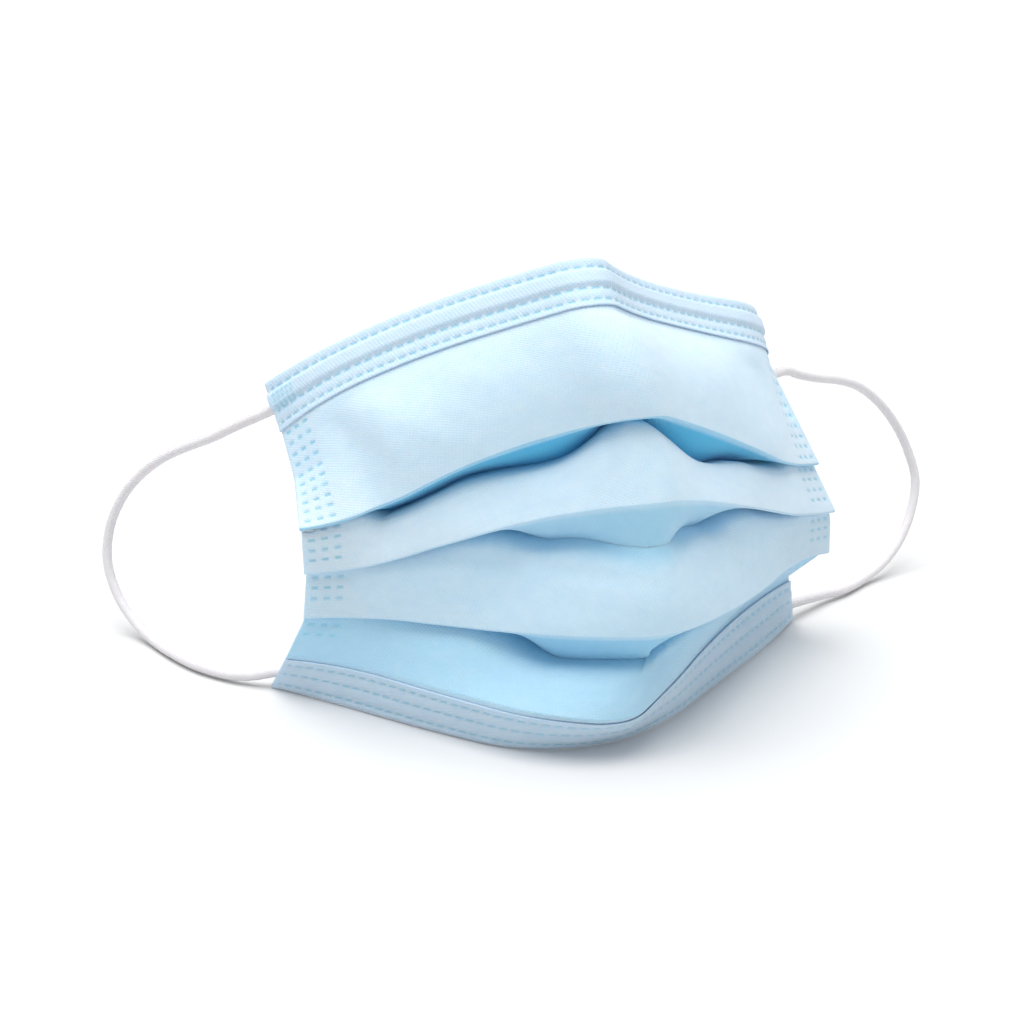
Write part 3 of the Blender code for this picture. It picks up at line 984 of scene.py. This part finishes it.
def elastic_material():
    """White knitted elastic."""
    result, tree, shader, flat = new_material("ear_loop_elastic")
    clouds = noise_of(tree, scaled(tree, flat, ELASTIC_CLOUD_SIZE), ELASTIC_CLOUD_DETAIL)
    tree.links.new(mixed(tree, clouds, ELASTIC_DEEP, ELASTIC_PALE), shader.inputs["Base Color"])
    knit = wave_of(tree, scaled(tree, flat, KNIT_SIZE, KNIT_TURN))
    bumped(tree, shader, knit, ELASTIC_RELIEF, ELASTIC_BUMP)
    set_inputs(shader, ELASTIC_FINISH)
    return result


def floor_material():
    result = bpy.data.materials.new("pale_floor")
    result.use_nodes = True
    set_inputs(result.node_tree.nodes["Principled BSDF"], FLOOR_FINISH)
    return result


def add_camera():
    """The photo's camera, from the front's left and above."""
    data = bpy.data.cameras.new("camera")
    data.lens = CAMERA_LENS
    data.sensor_width = CAMERA_SENSOR
    data.clip_start = CAMERA_CLIP_START
    camera = bpy.data.objects.new("camera", data)
    bpy.context.scene.collection.objects.link(camera)
    azimuth = math.radians(CAMERA_AZIMUTH)
    elevation = math.radians(CAMERA_ELEVATION)
    level = math.cos(elevation)
    away = Vector((math.sin(azimuth) * level, -math.cos(azimuth) * level, math.sin(elevation)))
    camera.location = CAMERA_TARGET + away * CAMERA_DISTANCE
    camera.rotation_euler = (-away).to_track_quat("-Z", "Y").to_euler()
    bpy.context.scene.camera = camera


def add_light(name, location, size, power):
    data = bpy.data.lights.new(name, "AREA")
    data.shape = "SQUARE"
    data.size = size
    data.energy = power
    light = bpy.data.objects.new(name, data)
    light.location = location
    light.rotation_euler = (LIGHT_AIM - Vector(location)).to_track_quat("-Z", "Y").to_euler()
    bpy.context.scene.collection.objects.link(light)


def add_studio():
    """A pale floor under a wide soft light from overhead, with a pale sky and a faint fill in front."""
    scene = bpy.context.scene
    scene.view_settings.view_transform = "Standard"
    world = bpy.data.worlds.new("studio")
    world.use_nodes = True
    set_inputs(world.node_tree.nodes["Background"], SKY_SETTINGS)
    scene.world = world
    for name, row in LIGHTS.items():
        add_light(name, row["location"], row["size"], row["power"])
    mesh = bpy.data.meshes.new("floor")
    corners = [(x * FLOOR_REACH, y * FLOOR_REACH, 0) for x, y in ((-1, -1), (1, -1), (1, 1), (-1, 1))]
    mesh.from_pydata(corners, [], [(0, 1, 2, 3)])
    mesh.materials.append(floor_material())
    floor = bpy.data.objects.new("floor", mesh)
    scene.collection.objects.link(floor)


def main():
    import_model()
    add_camera()
    lines = {name: fold_line(name) for name in FOLD_LINES}
    elastic = elastic_material()
    for side, length in (("left", LEFT_LOOP_LENGTH), ("right", RIGHT_LOOP_LENGTH)):
        loop, path = loop_object(side + "_loop_cord", lines, side, elastic)
        node = side + "_ear_loop"
        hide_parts(node)
        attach(loop, "root")
    outer = cloth_material("outer_cloth")
    inner = cloth_material("inner_cloth")
    band = cloth_material("binding_cloth")
    cloth = cloth_piece("pleated_cloth", lines, [outer, inner])
    top = binding_piece("nose_band", lines["top_edge"], lines["top_hem"], TOP_DASH_ROWS, True, band)
    bottom = binding_piece(
        "chin_band", lines["lower_edge"], lines["lower_hem"], LOWER_DASH_ROWS, False, band
    )
    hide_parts("mask_body")
    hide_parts("top_binding")
    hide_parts("bottom_binding")
    for piece in (cloth, top, bottom):
        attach(piece, "root")
    add_studio()


main()
